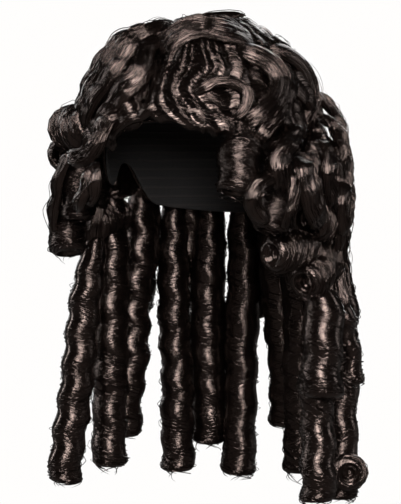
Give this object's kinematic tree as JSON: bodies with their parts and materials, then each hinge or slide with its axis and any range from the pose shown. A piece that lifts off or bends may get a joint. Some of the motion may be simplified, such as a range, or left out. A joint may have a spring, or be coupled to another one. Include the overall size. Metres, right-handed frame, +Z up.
{
  "type": "long curled full-bottomed wig, dark and unpowdered",
  "caption": "Long full-bottomed wig with waved locks swept from a part, rolled curls at the temples and ringlets that hang to the chest, worn over the head.",
  "frame": {"origin": "the inside of the cap at its highest point, where it sits on the crown of the head", "axes": "+Z up, the face looks along -Y, +X to the wearer's left"},
  "size_m": [0.2712, 0.2714, 0.4134],
  "materials": {
    "hair": "glossy synthetic hair, near-black brown with warm brown highlights",
    "cap_net": "matt stretch net with sewn wefts"
  },
  "bodies": {
    "root": {"cap": "cap_net", "under_hair": "hair", "front_wave_left_1": "hair", "front_wave_left_2": "hair", "front_wave_left_3": "hair", "front_wave_left_4": "hair", "front_wave_left_5": "hair", "front_wave_right_1": "hair", "front_wave_right_2": "hair", "front_wave_right_3": "hair", "front_wave_right_4": "hair", "front_wave_right_5": "hair", "crown_wave_1": "hair", "crown_wave_2": "hair", "back_wave_1": "hair", "back_wave_2": "hair", "back_wave_3": "hair", "back_wave_4": "hair", "back_wave_5": "hair", "back_wave_6": "hair", "back_wave_7": "hair", "back_wave_8": "hair", "back_wave_9": "hair", "temple_curl_left": "hair", "side_curl_left_1": "hair", "side_curl_left_2": "hair", "side_curl_left_3": "hair", "side_curl_left_4": "hair", "side_curl_left_5": "hair", "side_curl_right_1": "hair", "side_curl_right_2": "hair", "side_curl_right_3": "hair", "side_curl_right_4": "hair", "side_curl_right_5": "hair", "side_curl_right_6": "hair", "side_curl_right_7": "hair", "fall_left_1": "hair", "fall_left_2": "hair", "fall_left_3": "hair", "ringlet_left_1": "hair", "ringlet_left_2": "hair", "ringlet_left_3": "hair", "ringlet_left_4": "hair", "ringlet_right_1": "hair", "ringlet_back_1": "hair", "ringlet_back_2": "hair", "ringlet_back_3": "hair", "ringlet_back_4": "hair", "ringlet_back_5": "hair", "ringlet_back_6": "hair", "ringlet_back_7": "hair", "ringlet_back_8": "hair", "ringlet_upper_1": "hair", "ringlet_upper_2": "hair", "ringlet_upper_3": "hair", "ringlet_upper_4": "hair", "ringlet_upper_5": "hair"}
  },
  "joints": []
}
